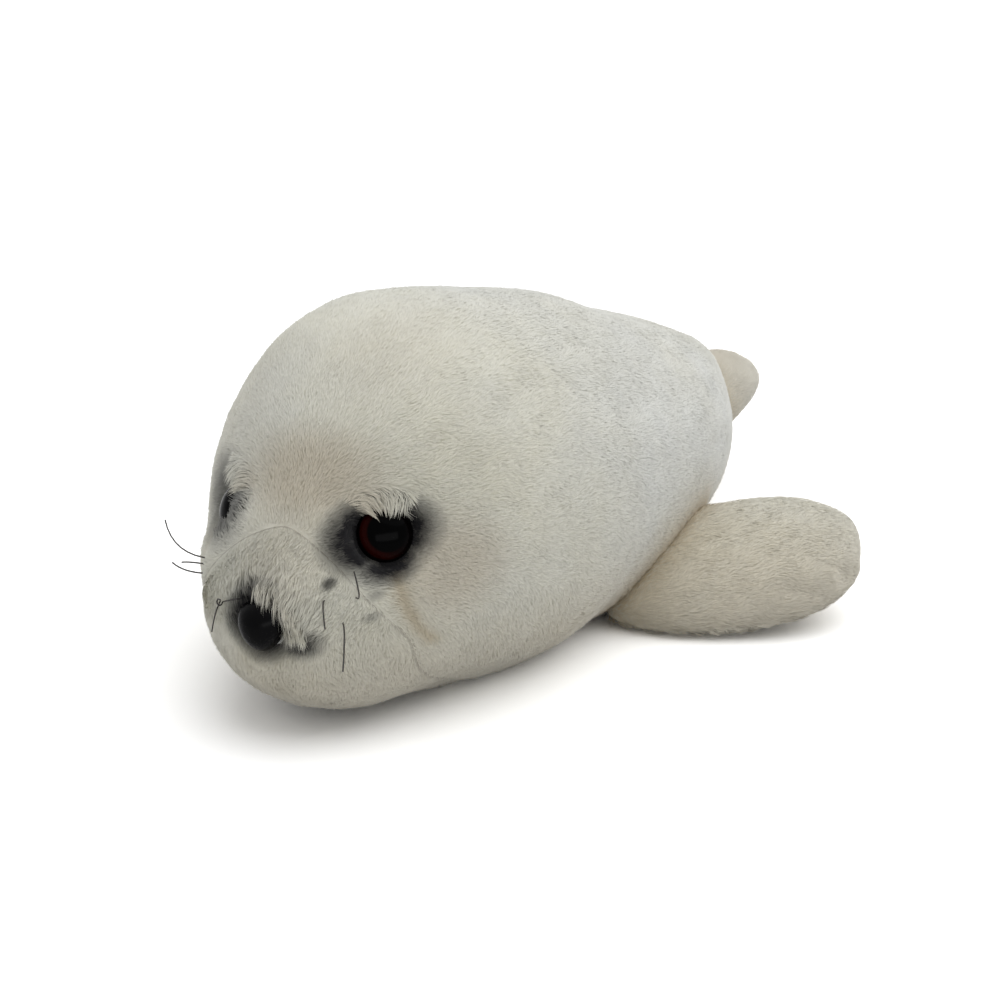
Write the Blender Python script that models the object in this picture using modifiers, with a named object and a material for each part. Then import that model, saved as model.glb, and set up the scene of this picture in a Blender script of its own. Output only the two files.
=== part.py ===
"""Plush seal pup lying on its belly: a stuffed body, four sewn flippers, plastic eyes and nose, nylon whiskers.

Metres, +Z up. The belly rests on z = 0, the seal faces -Y and its left side is +X.
"""

import math

import bmesh
import bpy
import numpy as np
from mathutils import Matrix, Vector

# Padded forms that the one skin is pulled over. y and z place the centre, which is on the middle plane.
CROWN = {"y": -0.0600, "z": 0.0610, "half_width": 0.0582, "half_length": 0.0650, "half_height": 0.0637}
MUZZLE = {"y": -0.1208, "z": 0.0385, "half_width": 0.0350, "half_length": 0.0317, "half_height": 0.0320}
CHEST = {"y": -0.0244, "z": 0.0536, "half_width": 0.0675, "half_length": 0.0979, "half_height": 0.0607}
HIPS = {"y": 0.0422, "z": 0.0435, "half_width": 0.0634, "half_length": 0.0962, "half_height": 0.0479}
TAIL = {"y": 0.1143, "z": 0.0283, "half_width": 0.0300, "half_length": 0.0428, "half_height": 0.0228}
FORMS = (CROWN, MUZZLE, CHEST, HIPS, TAIL)
SQUARENESS = 2.1  # 2 makes each form an ellipsoid, more fills out its corners
BLEND = 0.009  # how softly one form runs into the next

# Sewn seams, pressed into the skin as shallow grooves.
SEAM_DEPTH = 0.0012
SEAM_HALF_WIDTH = 0.0034
MUZZLE_SEAM = {"z": 0.0320, "half_width": 0.0375, "half_height": 0.0380, "power": 1.55}
CHEEK_SEAM_TOP = {"out": 0.0322, "z": 0.0605}  # below the eye
CHEEK_SEAM_END = {"out": 0.0405, "z": 0.0340}  # where it runs into the muzzle's seam

CLEARANCE = 0.0003  # between two pieces that touch

# Plastic eye: a dome on a stem, held by a washer behind the cloth.
EYE_OUT = 0.0310
EYE_HEIGHT = 0.0704
EYE_RADIUS = 0.0090
EYE_DOME = 0.0070
EYE_RIM = 0.0011  # height of the dome's straight edge
EYE_SINK = 0.0078  # how far the back of the eye sits below the skin's own curve
EYE_HOLLOW = 0.0028  # how deep the washer draws the cloth in round the eye
EYE_HOLLOW_RADIUS = 0.0125
CLOTH = 0.0020  # thickness of cloth held between a fitting and its washer
STEM_RADIUS = 0.0022
STEM_LENGTH = 0.0120
STEM_CHAMFER = 0.0007
WASHER_RADIUS = 0.0075
WASHER_THICKNESS = 0.0020
WASHER_EDGE = 0.0003

# Plastic nose: a rounded triangle, broad above and narrow below.
NOSE_HEIGHT = 0.0420
NOSE_HALF_WIDTH = 0.0090
NOSE_HALF_HEIGHT = 0.0085
NOSE_PROUD = 0.0062
NOSE_BACK = 0.0030  # how far the nose's rim sits below the skin
NOSE_BULGE = 0.0008  # how far its back swells behind the rim
NOSE_TAPER = 0.34  # how much broader than its middle the nose is at the top
NOSE_CORNERS = 0.25  # how far its top corners are drawn in

# Flippers: padded paddles. out, y and z place the root's middle, inside the body; one with no z lies on the
# floor. root is the root's share of the full width, which is reached at widest, a share of the length.
FRONT_FLIPPER = {
    "out": 0.0448, "y": CHEST["y"] + 0.0184, "length": 0.0975, "width": 0.0670, "thickness": 0.0280,
    "root": 0.72, "widest": 0.72, "sweep": 35.0, "rise": 10.3, "roll": 18.3,
}
HIND_FLIPPER = {
    "out": 0.0105, "y": TAIL["y"] + 0.0141, "z": TAIL["z"] - 0.0024,
    "length": 0.0605, "width": 0.0383, "thickness": 0.0190,
    "root": 0.95, "widest": 0.62, "sweep": 78.5, "rise": 19.0, "roll": 4.7,
}
FLIPPER_POWER = 2.8  # 2 gives an oval outline, more a blunter tip
FLOOR_PRESS = 0.0017  # how much of a flipper's underside is pressed flat on the floor

# Whiskers: nylon bristles set in the muzzle. out and z place the root, then come the length and how far the tip
# bends along +X, -Y and +Z for each unit of length. A whisker on the right has a negative out.
WHISKER_RADIUS = 0.00025
WHISKER_ROOT = 0.0040
WHISKER_DROOP = 0.25  # share of its length that a bristle loses along the skin's normal as it bends
WHISKERS = {
    "whisker_left_1": {"out": 0.0280, "z": 0.0525, "length": 0.016, "bend": (-0.26, 0.08, 0.53)},
    "whisker_left_2": {"out": 0.0195, "z": 0.0521, "length": 0.013, "bend": (0.18, -0.13, -0.56)},
    "whisker_left_3": {"out": 0.0253, "z": 0.0449, "length": 0.018, "bend": (0.04, -0.21, -0.55)},
    "whisker_right_1": {"out": -0.0332, "z": 0.0532, "length": 0.021, "bend": (0.06, 0.20, 0.41)},
    "whisker_right_2": {"out": -0.0335, "z": 0.0512, "length": 0.009, "bend": (0.01, -0.02, -0.06)},
    "whisker_right_3": {"out": -0.0340, "z": 0.0480, "length": 0.012, "bend": (-0.05, 0.06, 0.21)},
}
LOOP_OUT = -0.0083
LOOP_ABOVE_NOSE = 0.0074
LOOP_REACH = 0.0065  # from the root to the ring
LOOP_SLOPE = 0.35  # how far the strand falls as it runs away from the nose
LOOP_RADIUS = 0.0010
LOOP_PITCH = 0.0008  # how far the ring's end stands in front of its start
LOOP_TAIL = 0.0110
LOOP_TAIL_LEAN = 0.25

# Facets: how finely each form is divided.
BODY_FACETS = (26, 18, 24)  # across, along, high
NOSE_FACETS = 8
FLIPPER_FACETS = 10
EYE_RINGS = 8
FITTING_SIDES = 24
SOCKET_SIDES = 8
WHISKER_STEPS = 7
LOOP_STEPS = 14
LOOP_TAIL_STEPS = 4
BISECTIONS = 30

# Line inside the body that its skin is measured from.
SPINE_FRONT, SPINE_REAR, SPINE_Z = CROWN["y"], HIPS["y"], HIPS["z"]
BEYOND_SKIN = 2.0 * (CHEST["half_length"] + HIPS["half_length"])


def skin_level(points):
    """Level of the blended forms at each point: below zero inside the skin, zero on it."""
    total = np.zeros(len(points))
    for form in FORMS:
        half = np.array([form["half_width"], form["half_length"], form["half_height"]])
        share = np.abs(points - np.array([0.0, form["y"], form["z"]])) / half
        reach = (share ** SQUARENESS).sum(axis=1) ** (1.0 / SQUARENESS) - 1.0
        total += np.exp(-reach * half.min() / BLEND)
    return -BLEND * np.log(total)


def reach_of_skin(origins, directions):
    """Distance along each ray, from inside the body, to the skin."""
    near = np.zeros(len(origins))
    far = np.full(len(origins), BEYOND_SKIN)
    for _ in range(BISECTIONS):
        middle = 0.5 * (near + far)
        inside = skin_level(origins + directions * middle[:, None]) < 0.0
        near = np.where(inside, middle, near)
        far = np.where(inside, far, middle)
    return near


def skin_press(points):
    """Depth of the sewn grooves and of the hollows round the eyes at each point of the skin."""
    out, height = np.abs(points[:, 0]), points[:, 2]
    power = MUZZLE_SEAM["power"]
    ring = (out / MUZZLE_SEAM["half_width"]) ** power
    ring += (np.abs(height - MUZZLE_SEAM["z"]) / MUZZLE_SEAM["half_height"]) ** power
    from_ring = np.abs(ring ** (1.0 / power) - 1.0) * MUZZLE_SEAM["half_width"]
    run = np.array([CHEEK_SEAM_END[key] - CHEEK_SEAM_TOP[key] for key in ("out", "z")])
    start = np.stack([out - CHEEK_SEAM_TOP["out"], height - CHEEK_SEAM_TOP["z"]], axis=1)
    share = np.clip(start @ run / (run @ run), 0.0, 1.0)
    from_cheek = np.linalg.norm(start - share[:, None] * run, axis=1)
    nearest = np.minimum(from_ring, from_cheek)
    from_eye = np.hypot(out - EYE_OUT, height - EYE_HEIGHT)
    press = SEAM_DEPTH * np.exp(-((nearest / SEAM_HALF_WIDTH) ** 2))
    press += EYE_HOLLOW * np.exp(-((from_eye / EYE_HOLLOW_RADIUS) ** 2))
    on_face = points[:, 1] < CROWN["y"]
    return press * on_face


def skin_spot(out, height):
    """(point, outward normal) of the front of the skin this far from the middle plane and this high."""
    origin = np.array([[out, CROWN["y"], height]])
    forward = np.array([[0.0, -1.0, 0.0]])
    point = origin[0] + forward[0] * reach_of_skin(origin, forward)[0]
    shifts = np.eye(3) * CLEARANCE
    slope = skin_level(point + shifts) - skin_level(point - shifts)
    return Vector(point), Vector(slope).normalized()


def facing(point, normal):
    """Frame at a point of the skin: local z points out of it, local x to the seal's left."""
    up = (Vector((0.0, 0.0, 1.0)) - normal * normal.z).normalized()
    side = up.cross(normal)
    return Matrix.Translation(point) @ Matrix((side, up, normal)).transposed().to_4x4()


def material(name, colour, roughness, coat=0.0):
    made = bpy.data.materials.new(name)
    made.use_nodes = True
    shader = made.node_tree.nodes["Principled BSDF"]
    shader.inputs["Base Color"].default_value = (*colour, 1.0)
    shader.inputs["Roughness"].default_value = roughness
    shader.inputs["Coat Weight"].default_value = coat
    made.diffuse_color = (*colour, 1.0)
    return made


def finish(made, surface):
    """Gives a piece its material; an object with none is a cutter."""
    if surface:
        made.data.materials.append(surface)
    else:
        made.hide_render = True
        made.display_type = "WIRE"


def add_object(name, made, collection, surface=None):
    """Puts a bmesh into the scene as a named object."""
    bmesh.ops.recalc_face_normals(made, faces=made.faces)
    mesh = bpy.data.meshes.new(name)
    made.to_mesh(mesh)
    made.free()
    mesh.shade_smooth()
    result = bpy.data.objects.new(name, mesh)
    collection.objects.link(result)
    finish(result, surface)
    return result


def cut(target, cutter, operation="DIFFERENCE"):
    boolean = target.modifiers.new(cutter.name, "BOOLEAN")
    boolean.operation = operation
    boolean.solver = "EXACT"
    boolean.object = cutter


def round_box(across, along, high):
    """Sphere of radius 1 made of quads: a box of this many facets each way, blown up round."""
    made = bmesh.new()
    bmesh.ops.create_cube(made, size=2.0)
    for axis, count in enumerate((across, along, high)):
        edges = []
        for edge in made.edges:
            run = edge.verts[1].co - edge.verts[0].co
            if abs(run[axis]) > 0.5 * run.length:
                edges.append(edge)
        bmesh.ops.subdivide_edges(made, edges=edges, cuts=count - 1, use_grid_fill=True)
    for vertex in made.verts:
        vertex.co = Vector([math.tan(0.25 * math.pi * value) for value in vertex.co]).normalized()
    return made


def body_mesh(offset=0.0):
    """The skin as one closed mesh, cut flat where it lies on the floor, or the same grown by an offset."""
    made = round_box(*BODY_FACETS)
    directions = np.array([vertex.co for vertex in made.verts])
    middle, half = 0.5 * (SPINE_FRONT + SPINE_REAR), 0.5 * (SPINE_REAR - SPINE_FRONT)
    origins = np.zeros_like(directions)
    origins[:, 1] = middle + half * directions[:, 1]
    origins[:, 2] = SPINE_Z
    reach = reach_of_skin(origins, directions)
    reach -= skin_press(origins + directions * reach[:, None])
    falling = directions[:, 2] < 0.0
    reach[falling] = np.minimum(reach[falling], -origins[falling, 2] / directions[falling, 2])
    for vertex, place in zip(made.verts, origins + directions * reach[:, None]):
        vertex.co = place
    made.normal_update()
    moves = [vertex.normal * offset for vertex in made.verts]
    for vertex, move in zip(made.verts, moves):
        vertex.co += move
    return made


def turned(name, profile, collection, surface=None, closed=False):
    """Solid turned about local z. The profile's (radius, height) points run down its outer side at +X."""
    mesh = bpy.data.meshes.new(name)
    edges = [(start, start + 1) for start in range(len(profile) - 1)]
    if closed:
        edges.append((len(profile) - 1, 0))
    mesh.from_pydata([(radius, 0.0, height) for radius, height in profile], edges, [])
    result = bpy.data.objects.new(name, mesh)
    collection.objects.link(result)
    screw = result.modifiers.new("turn", "SCREW")
    screw.steps = screw.render_steps = FITTING_SIDES
    screw.use_merge_vertices = True
    screw.merge_threshold = 1e-6
    finish(result, surface)
    return result


def stem_profile():
    """Lower end of a fitting's stem, from its side down to the axis."""
    return [
        (STEM_RADIUS, STEM_CHAMFER - STEM_LENGTH), (STEM_RADIUS - STEM_CHAMFER, -STEM_LENGTH),
        (0.0, -STEM_LENGTH),
    ]


def eye_profile():
    """Dome and stem of one eye: its flat back is at local z = 0."""
    profile = [(0.0, EYE_DOME)]
    for ring in range(1, EYE_RINGS + 1):
        turn = 0.5 * math.pi * ring / EYE_RINGS
        profile.append((EYE_RADIUS * math.sin(turn), EYE_RIM + (EYE_DOME - EYE_RIM) * math.cos(turn)))
    bevel = 0.5 * EYE_RIM
    profile += [(EYE_RADIUS, bevel), (EYE_RADIUS - bevel, 0.0), (STEM_RADIUS, 0.0)]
    return profile + stem_profile()


def washer_profile():
    """Ring with a clearance hole, whose cloth side is at local z = 0."""
    inner, edge = STEM_RADIUS + CLEARANCE, WASHER_EDGE
    return [
        (inner, 0.0), (WASHER_RADIUS - edge, 0.0), (WASHER_RADIUS, -edge),
        (WASHER_RADIUS, edge - WASHER_THICKNESS), (WASHER_RADIUS - edge, -WASHER_THICKNESS),
        (inner, -WASHER_THICKNESS),
    ]


def pocket_profile(seat_radius, seat_top):
    """Cutter for one fitting: seat for its head, hole for its stem, pocket for its washer."""
    hole, pocket, wall = STEM_RADIUS + CLEARANCE, WASHER_RADIUS + CLEARANCE, -CLEARANCE - CLOTH
    floor = wall - WASHER_THICKNESS - 2 * CLEARANCE
    bottom = -STEM_LENGTH - CLEARANCE
    return [
        (0.0, seat_top), (seat_radius, seat_top), (seat_radius, -CLEARANCE), (hole, -CLEARANCE),
        (hole, wall), (pocket, wall), (pocket, floor), (hole, floor), (hole, bottom), (0.0, bottom),
    ]


def nose_mesh(grow=0.0):
    """Rounded triangle, broad above, with a gently rounded back: its rim is at local z = 0."""
    made = round_box(NOSE_FACETS, NOSE_FACETS, NOSE_FACETS)
    for vertex in made.verts:
        side, up, out = vertex.co
        width = 1.0 + NOSE_TAPER * (up - NOSE_CORNERS * abs(side))
        depth = NOSE_PROUD + NOSE_BACK if out > 0 else NOSE_BULGE
        vertex.co = (
            (NOSE_HALF_WIDTH + grow) * side * width,
            (NOSE_HALF_HEIGHT + grow) * up,
            (depth + grow) * out,
        )
    return made


def paddle_mesh(flipper):
    """Padded flipper along local x from root to tip, with its width along y and thickness along z."""
    made = round_box(FLIPPER_FACETS, FLIPPER_FACETS, FLIPPER_FACETS // 2)
    for vertex in made.verts:
        along, side, face = vertex.co
        share = 0.5 * (1.0 + along)
        opened = math.sin(0.5 * math.pi * min(share / flipper["widest"], 1.0))
        swell = flipper["root"] + (1.0 - flipper["root"]) * opened
        outline = max(1.0 - abs(along) ** FLIPPER_POWER, 0.0) ** (1.0 / FLIPPER_POWER)
        full = outline / max(math.hypot(side, face), 1e-6)
        vertex.co = (
            flipper["length"] * share,
            0.5 * flipper["width"] * side * swell * full,
            0.5 * flipper["thickness"] * face * 0.5 * (1.0 + swell) * full,
        )
    return made


def trim_at_middle(made):
    """Cuts away what crosses the seal's middle plane and closes the mesh there."""
    trimmed = bmesh.ops.bisect_plane(
        made, geom=made.verts[:] + made.edges[:] + made.faces[:], dist=1e-7,
        plane_co=(0.5 * CLEARANCE, 0.0, 0.0), plane_no=(-1.0, 0.0, 0.0), clear_outer=True,
    )["geom_cut"]
    rim = [piece for piece in trimmed if isinstance(piece, bmesh.types.BMEdge)]
    if rim:
        bmesh.ops.contextual_create(made, geom=rim)


def place_flipper(name, flipper, hand, collection, surface, body_limit):
    """One flipper on its side of the body (hand is 1 for left, -1 for right), trimmed at the skin."""
    made = paddle_mesh(flipper)
    turn = Matrix.Rotation(math.radians(flipper["sweep"]), 4, "Z")
    turn @= Matrix.Rotation(-math.radians(flipper["rise"]), 4, "Y")
    turn @= Matrix.Rotation(math.radians(flipper["roll"]), 4, "X")
    bmesh.ops.transform(made, matrix=turn, verts=made.verts)
    lowest = min(vertex.co.z for vertex in made.verts)
    root = Vector((flipper["out"], flipper["y"], flipper.get("z", -lowest - FLOOR_PRESS)))
    for vertex in made.verts:
        vertex.co += root
        vertex.co.z = max(vertex.co.z, 0.0)
    trim_at_middle(made)
    if hand < 0:
        bmesh.ops.transform(made, matrix=Matrix.Diagonal((-1.0, 1.0, 1.0, 1.0)), verts=made.verts)
    cut(add_object(name, made, collection, surface), body_limit)


def strand(name, path, collection, surface):
    """Round nylon strand through the points of a path."""
    curve = bpy.data.curves.new(name, "CURVE")
    curve.dimensions = "3D"
    curve.bevel_depth = WHISKER_RADIUS
    curve.bevel_resolution = 1
    curve.use_fill_caps = True
    line = curve.splines.new("POLY")
    line.points.add(len(path) - 1)
    for point, place in zip(line.points, path):
        point.co = (*place, 1.0)
    curve.materials.append(surface)
    collection.objects.link(bpy.data.objects.new(name, curve))


def whisker_path(root, normal, length, bend):
    """Straight inside its socket, then out along the skin's normal and round to the bent tip."""
    path = [root - normal * WHISKER_ROOT, root + normal * 0.5 * CLEARANCE]
    for step in range(1, WHISKER_STEPS + 1):
        share = step / WHISKER_STEPS
        out = length * share * (1.0 - WHISKER_DROOP * share)
        path.append(root + normal * out + Vector(bend) * length * share * share)
    return path


def loop_path(root, normal):
    """Strand that runs away from the nose, turns once round a small ring and hangs down."""
    along = Vector((-1.0, 0.0, -LOOP_SLOPE))
    away = (along - normal * normal.dot(along)).normalized()
    across = normal.cross(away)
    start = root + normal * (4 * WHISKER_RADIUS + CLEARANCE)
    path = [root - normal * WHISKER_ROOT, root + normal * 2 * WHISKER_RADIUS, start + away * WHISKER_RADIUS]
    centre = start + away * (LOOP_REACH + LOOP_RADIUS)
    for step in range(LOOP_STEPS):
        share = step / LOOP_STEPS
        turn = 2 * math.pi * share
        ring = across * math.sin(turn) - away * math.cos(turn)
        path.append(centre + ring * LOOP_RADIUS + normal * LOOP_PITCH * share)
    end = path[-1]
    for step in range(1, LOOP_TAIL_STEPS + 1):
        share = step / LOOP_TAIL_STEPS
        fall = Vector((-LOOP_TAIL_LEAN, 0.0, -1.0)) * LOOP_TAIL * share
        eased = share * (3.0 - 2.0 * share)
        path.append(end + fall + normal * (WHISKER_RADIUS + LOOP_RADIUS * eased))
    return path


def sockets_mesh(seats):
    """Round holes in the muzzle for the roots of the whiskers."""
    made = bmesh.new()
    deep, proud = WHISKER_ROOT + CLEARANCE, WHISKER_ROOT
    radius = WHISKER_RADIUS + CLEARANCE
    for point, normal in seats:
        matrix = facing(point, normal) @ Matrix.Translation((0.0, 0.0, 0.5 * (proud - deep)))
        bmesh.ops.create_cone(
            made, cap_ends=True, segments=SOCKET_SIDES, radius1=radius, radius2=radius,
            depth=deep + proud, matrix=matrix,
        )
    return made


def add_eye(side, hand, body, toy, cutters, surfaces):
    """One eye with its washer, and the pocket for both in the body."""
    point, normal = skin_spot(hand * EYE_OUT, EYE_HEIGHT)
    seat = facing(point - normal * EYE_SINK, normal)
    eye = turned("eye_" + side, eye_profile(), toy, surfaces["eye_plastic"])
    pocket = turned("eye_pocket_" + side, pocket_profile(EYE_RADIUS + CLEARANCE, 2 * EYE_DOME), cutters)
    eye.matrix_world = pocket.matrix_world = seat
    add_washer("eye_washer_" + side, seat, toy, surfaces)
    cut(body, pocket)


def add_washer(name, seat, toy, surfaces):
    washer = turned(name, washer_profile(), toy, surfaces["washer_plastic"], closed=True)
    washer.matrix_world = seat @ Matrix.Translation((0.0, 0.0, -2 * CLEARANCE - CLOTH))


def add_nose(body, toy, cutters, surfaces):
    """The nose on its stem, its washer, and the hollow and pocket for them in the body."""
    point, normal = skin_spot(0.0, NOSE_HEIGHT)
    seat = facing(point - normal * NOSE_BACK, normal)
    nose = add_object("nose", nose_mesh(), toy, surfaces["nose_plastic"])
    stem = turned("nose_stem", [(0.0, NOSE_BACK), (STEM_RADIUS, NOSE_BACK)] + stem_profile(), cutters)
    hollow = add_object("nose_hollow", nose_mesh(CLEARANCE), cutters)
    pocket = turned("nose_pocket", pocket_profile(STEM_RADIUS + CLEARANCE, 0.5 * NOSE_BACK), cutters)
    nose.matrix_world = stem.matrix_world = hollow.matrix_world = pocket.matrix_world = seat
    add_washer("nose_washer", seat, toy, surfaces)
    cut(nose, stem, "UNION")
    cut(body, hollow)
    cut(body, pocket)


def add_whiskers(body, toy, cutters, surfaces):
    """Every whisker, and the sockets for their roots in the body."""
    seats = []
    for name, whisker in WHISKERS.items():
        point, normal = skin_spot(whisker["out"], whisker["z"])
        path = whisker_path(point, normal, whisker["length"], whisker["bend"])
        strand(name, path, toy, surfaces["whisker_nylon"])
        seats.append((point, normal))
    point, normal = skin_spot(LOOP_OUT, NOSE_HEIGHT + LOOP_ABOVE_NOSE)
    strand("whisker_looped", loop_path(point, normal), toy, surfaces["whisker_nylon"])
    seats.append((point, normal))
    cut(body, add_object("whisker_sockets", sockets_mesh(seats), cutters))


def build():
    for old in list(bpy.data.objects):
        bpy.data.objects.remove(old)
    toy = bpy.data.collections.new("plush_seal")
    cutters = bpy.data.collections.new("cutters")
    bpy.context.scene.collection.children.link(toy)
    bpy.context.scene.collection.children.link(cutters)
    cutters.hide_render = True

    surfaces = {
        "plush": material("plush", (0.80, 0.78, 0.72), 0.95),
        "eye_plastic": material("eye_plastic", (0.02, 0.009, 0.007), 0.08, coat=1.0),
        "nose_plastic": material("nose_plastic", (0.012, 0.012, 0.013), 0.18, coat=0.5),
        "washer_plastic": material("washer_plastic", (0.75, 0.75, 0.72), 0.5),
        "whisker_nylon": material("whisker_nylon", (0.03, 0.022, 0.018), 0.4),
    }
    body = add_object("body", body_mesh(), toy, surfaces["plush"])
    body_limit = add_object("body_limit", body_mesh(CLEARANCE), cutters)
    for side, hand in (("left", 1), ("right", -1)):
        place_flipper("flipper_front_" + side, FRONT_FLIPPER, hand, toy, surfaces["plush"], body_limit)
        place_flipper("flipper_hind_" + side, HIND_FLIPPER, hand, toy, surfaces["plush"], body_limit)
        add_eye(side, hand, body, toy, cutters, surfaces)
    add_nose(body, toy, cutters, surfaces)
    add_whiskers(body, toy, cutters, surfaces)


build()
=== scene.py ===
"""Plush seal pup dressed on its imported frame: pile coat, airbrushed face, toy eyes and nose, whiskers, studio.

Metres, +Z up. The seal faces -Y, its left side is +X and the floor is z = 0.
"""

import math
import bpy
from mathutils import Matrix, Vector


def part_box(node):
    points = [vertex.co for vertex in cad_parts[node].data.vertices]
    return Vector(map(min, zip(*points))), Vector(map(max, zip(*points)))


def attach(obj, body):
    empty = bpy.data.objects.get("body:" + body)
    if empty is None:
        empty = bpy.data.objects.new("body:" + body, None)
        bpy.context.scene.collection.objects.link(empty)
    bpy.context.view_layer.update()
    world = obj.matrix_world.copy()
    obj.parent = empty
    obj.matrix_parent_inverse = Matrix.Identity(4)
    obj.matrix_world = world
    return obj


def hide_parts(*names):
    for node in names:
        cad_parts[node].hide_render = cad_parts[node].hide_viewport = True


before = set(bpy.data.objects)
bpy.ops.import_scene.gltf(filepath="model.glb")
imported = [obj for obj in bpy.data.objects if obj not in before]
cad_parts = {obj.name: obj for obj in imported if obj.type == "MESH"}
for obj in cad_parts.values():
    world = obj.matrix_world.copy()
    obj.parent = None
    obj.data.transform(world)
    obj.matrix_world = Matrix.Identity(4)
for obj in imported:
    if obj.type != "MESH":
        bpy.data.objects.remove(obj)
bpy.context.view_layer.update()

from types import SimpleNamespace

import bmesh
import bpy
import numpy as np
from bpy.props import FloatProperty, FloatVectorProperty, IntProperty, PointerProperty
from mathutils import Matrix, Vector
from mathutils.bvhtree import BVHTree

bl_info = {
    "name": "Plush Seal",
    "version": (1, 0, 0),
    "blender": (4, 5, 0),
    "location": "3D View > Sidebar > Plush Seal",
    "description": "Dresses the plush seal with its pile coat, face, whiskers and studio",
    "category": "Object",
}

BODY_LOW, BODY_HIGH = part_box("body")
MM = 0.001
SIDES = {"left": 1.0, "right": -1.0}  # which way x runs on each side of the seal
SKIN_GAP = 0.4 * MM  # the skin stays at least this far above the floor
BLADE_GAP = 0.15 * MM  # and the pile this far

# The muzzle's seam and the two cheek seams, seen from the front: how far out from the middle plane, and how high.
MUZZLE_SEAM_Z = 0.0320
MUZZLE_SEAM_HALF_WIDTH = 0.0375
MUZZLE_SEAM_HALF_HEIGHT = 0.0380
MUZZLE_SEAM_LOW_HEIGHT = 0.0750
MUZZLE_SEAM_POWER = 1.55
CHEEK_SEAM_TOP = (0.0322, 0.0605)
CHEEK_SEAM_END = (0.0405, 0.0340)
FACE_REAR = -0.060  # the seams lie in front of this y


def number_setting(name, description, default, **more):
    return FloatProperty(name=name, description=description, default=default, **more)


def count_setting(name, description, default):
    return IntProperty(name=name, description=description, default=default, min=500)


def colour_setting(name, description, default):
    return FloatVectorProperty(name=name, description=description, default=default, subtype="COLOR")


class PileSettings(bpy.types.PropertyGroup):
    """Coat of the seal."""

    length: number_setting("Length", "Length of the pile on the back", 2.8 * MM, unit="LENGTH")
    undercoat: number_setting("Undercoat", "Depth of the skin below the coat's surface", 1.2 * MM, unit="LENGTH")
    blades: count_setting("Blades", "Blades of pile on the body", 300000)
    flipper_blades: count_setting("Flipper blades", "Blades of pile on one front flipper", 36000)
    lobe_blades: count_setting("Hind blades", "Blades of pile on one hind flipper", 12000)
    white: colour_setting("White", "Cool white of the back", (0.84, 0.85, 0.82))
    cream: colour_setting("Cream", "Warmer white of the crown and the face", (0.83, 0.81, 0.69))
    # Colour of painted shade: the pile low on the sides and in the shade spots is darkened and warmed to it
    shade: colour_setting("Shade", "Handled pile low on the sides", (0.68, 0.62, 0.50))
    # Yellow-brown of the cheek seams, and the colour of the painted shade in the creases at the flippers
    stain_and_crease_shade: colour_setting("Stain", "Handled pile in the creases", (0.50, 0.37, 0.18))
    airbrush: colour_setting("Airbrush", "Sprayed colour round the eyes and the nose", (0.008, 0.0075, 0.009))


class FittingSettings(bpy.types.PropertyGroup):
    """Plastic and nylon fittings."""

    iris: colour_setting("Iris", "Colour behind the rim of the eye", (0.024, 0.0022, 0.0014))
    pupil: colour_setting("Pupil", "Colour of the pupil", (0.0009, 0.0009, 0.0010))
    pupil_share: number_setting("Pupil size", "Radius of the pupil as a share of the eye's", 0.70, min=0.1, max=1.0)
    nose: colour_setting("Nose", "Colour of the nose", (0.0028, 0.0028, 0.0032))
    nylon: colour_setting("Whisker", "Colour of the whiskers", (0.020, 0.016, 0.014))


class StudioSettings(bpy.types.PropertyGroup):
    """Floor, lamps and camera."""

    azimuth: number_setting("Azimuth", "Camera's turn round the seal", math.radians(27.8), subtype="ANGLE")
    elevation: number_setting("Elevation", "Camera's height over the horizon", math.radians(19.4), subtype="ANGLE")
    distance: number_setting("Distance", "Camera's distance from its target", 0.8395, unit="LENGTH")
    lens: number_setting("Lens", "Focal length for a sensor 36 mm wide", 81.74, unit="CAMERA")
    lamp: number_setting("Lamp", "Strength of the wide lamp overhead", 1.54)
    fill: number_setting("Fill", "Strength of the light from all round", 0.47)


def unit(vectors):
    """The same vectors, each of length 1."""
    return vectors / np.maximum(np.linalg.norm(vectors, axis=-1, keepdims=True), 1e-12)


def ease(values, start, end):
    """0 below start, 1 above end, and smooth between them."""
    share = np.clip((values - start) / (end - start), 0.0, 1.0)
    return share * share * (3.0 - 2.0 * share)


def bell(values, width):
    """1 at 0, and smoothly less on both sides over this width."""
    return np.exp(-((values / width) ** 2))


def blend(first, second, share):
    """Rows of the first array turned into the second's by each row's share."""
    return first * (1 - share[:, None]) + second * share[:, None]


def waves(places, length, seed, count=14):
    """Smooth noise of about -1 to 1 at each place, whose waves are about this long."""
    rng = np.random.default_rng(seed)
    turn = unit(rng.normal(size=(count, 3))) * (2 * math.pi / length) * rng.uniform(0.7, 1.4, (count, 1))
    phase = rng.uniform(0, 2 * math.pi, count)
    return np.sin(places @ turn.T + phase).sum(axis=1) / math.sqrt(count)


def points_of(mesh):
    """Places of the mesh's vertices as rows of an array."""
    points = np.empty(len(mesh.vertices) * 3, np.float32)
    mesh.vertices.foreach_get("co", points)
    return points.reshape(-1, 3).astype(float)


def set_points(mesh, points):
    """Moves the mesh's vertices to these rows."""
    mesh.vertices.foreach_set("co", np.asarray(points, np.float32).ravel())
    mesh.update()


def normals_of(mesh):
    """Normals of the mesh's vertices as rows of an array."""
    normals = np.empty(len(mesh.vertices) * 3, np.float32)
    mesh.vertex_normals.foreach_get("vector", normals)
    return normals.reshape(-1, 3).astype(float)


def mesh_of(name, made):
    """New mesh from a bmesh, which is freed."""
    mesh = bpy.data.meshes.new(name)
    made.to_mesh(mesh)
    made.free()
    return mesh


def new_object(name, data, back=None, place=(0.0, 0.0, 0.0)):
    """Puts data into the scene as an object, turned so that its back points along this direction."""
    made = bpy.data.objects.new(name, data)
    made.location = place
    if back is not None:
        made.rotation_euler = back.to_track_quat("Z", "Y").to_euler()
    bpy.context.scene.collection.objects.link(made)
    return made


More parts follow.
